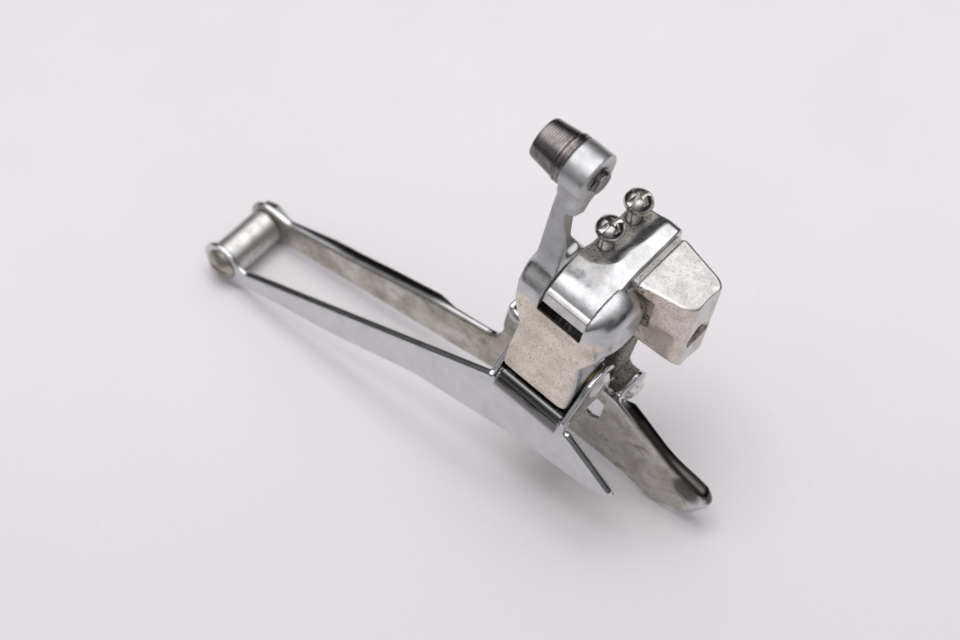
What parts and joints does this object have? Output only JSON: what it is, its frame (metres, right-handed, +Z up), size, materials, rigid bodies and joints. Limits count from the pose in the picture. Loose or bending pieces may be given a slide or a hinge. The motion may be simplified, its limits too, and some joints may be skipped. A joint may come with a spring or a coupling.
{
  "type": "front derailleur",
  "caption": "Front derailleur with a forged parallelogram, limit screws, cable-clamp arm and a two-plate chain cage.",
  "frame": {"origin": "mouth of the threaded frame-bolt hole, on the hole's axis", "axes": "+X outwards, away from the bicycle's frame; +Y forward, out of the frame-bolt hole; +Z up along the seat tube"},
  "size_m": [0.0355, 0.1224, 0.1107],
  "materials": {
    "cast_aluminium": "polished casting with fine scratches and dirt in the corners",
    "chrome_plate": "worn chrome plate",
    "steel_pin": "satin",
    "screw_steel": "plated, dirty thread",
    "clamp_steel": "dark chrome with turned grooves",
    "spacer_metal": "satin",
    "bronze_bush": "oily",
    "spring_steel": "oiled wire",
    "sleeve_plastic": "matte"
  },
  "bodies": {
    "body": {"body_casting": "cast_aluminium", "upper_outer_bush": "bronze_bush", "upper_inner_pin": "steel_pin", "upper_inner_clip": "steel_pin"},
    "low_screw": {"low_limit_screw": "screw_steel"},
    "high_screw": {"high_limit_screw": "screw_steel"},
    "outer_arm": {"outer_link": "cast_aluminium", "upper_outer_pin": "steel_pin", "cable_clamp_washer": "clamp_steel"},
    "clamp_bolt": {"cable_clamp_bolt": "clamp_steel"},
    "inner_arm": {"inner_link": "cast_aluminium", "upper_inner_bush": "bronze_bush", "lower_inner_bush": "bronze_bush"},
    "cage": {"cage_outer_plate": "chrome_plate", "cage_inner_plate": "chrome_plate", "bridge_rivets": "steel_pin", "tail_spacer": "spacer_metal", "tail_screw": "steel_pin", "tail_nut": "steel_pin", "lower_outer_pin": "steel_pin", "lower_outer_washers": "bronze_bush", "lower_inner_pin": "steel_pin", "return_spring": "spring_steel", "spring_sleeve": "sleeve_plastic"}
  },
  "joints": [
    {"name": "link_swing", "type": "hinge", "parent": "body", "child": "outer_arm", "pos_m": [0.012, -0.0187, 0.0055], "axis": [0, -1, 0], "range_deg": [-4, 30]},
    {"name": "inner_link_swing", "type": "hinge", "parent": "body", "child": "inner_arm", "pos_m": [0.0024, -0.0187, -0.0045], "axis": [0, -1, 0], "range_deg": [-4, 30]},
    {"name": "cage_pivot", "type": "hinge", "parent": "outer_arm", "child": "cage", "pos_m": [0.014, -0.0187, -0.0145], "axis": [0, -1, 0], "range_deg": [-30, 4]},
    {"name": "clamp_bolt_turn", "type": "hinge", "parent": "outer_arm", "child": "clamp_bolt", "pos_m": [0.0097, -0.02935, 0.0385], "axis": [0, -1, 0], "continuous": true},
    {"name": "low_screw_travel", "type": "slide", "parent": "body", "child": "low_screw", "axis": [0, 0, 1], "range_m": [-0.001, 0.002]},
    {"name": "high_screw_travel", "type": "slide", "parent": "body", "child": "high_screw", "axis": [0, 0, 1], "range_m": [-0.001, 0.002]}
  ],
  "couplings": [
    {"joint": "inner_link_swing", "follows": "link_swing", "ratio": 1},
    {"joint": "cage_pivot", "follows": "link_swing", "ratio": -1}
  ]
}
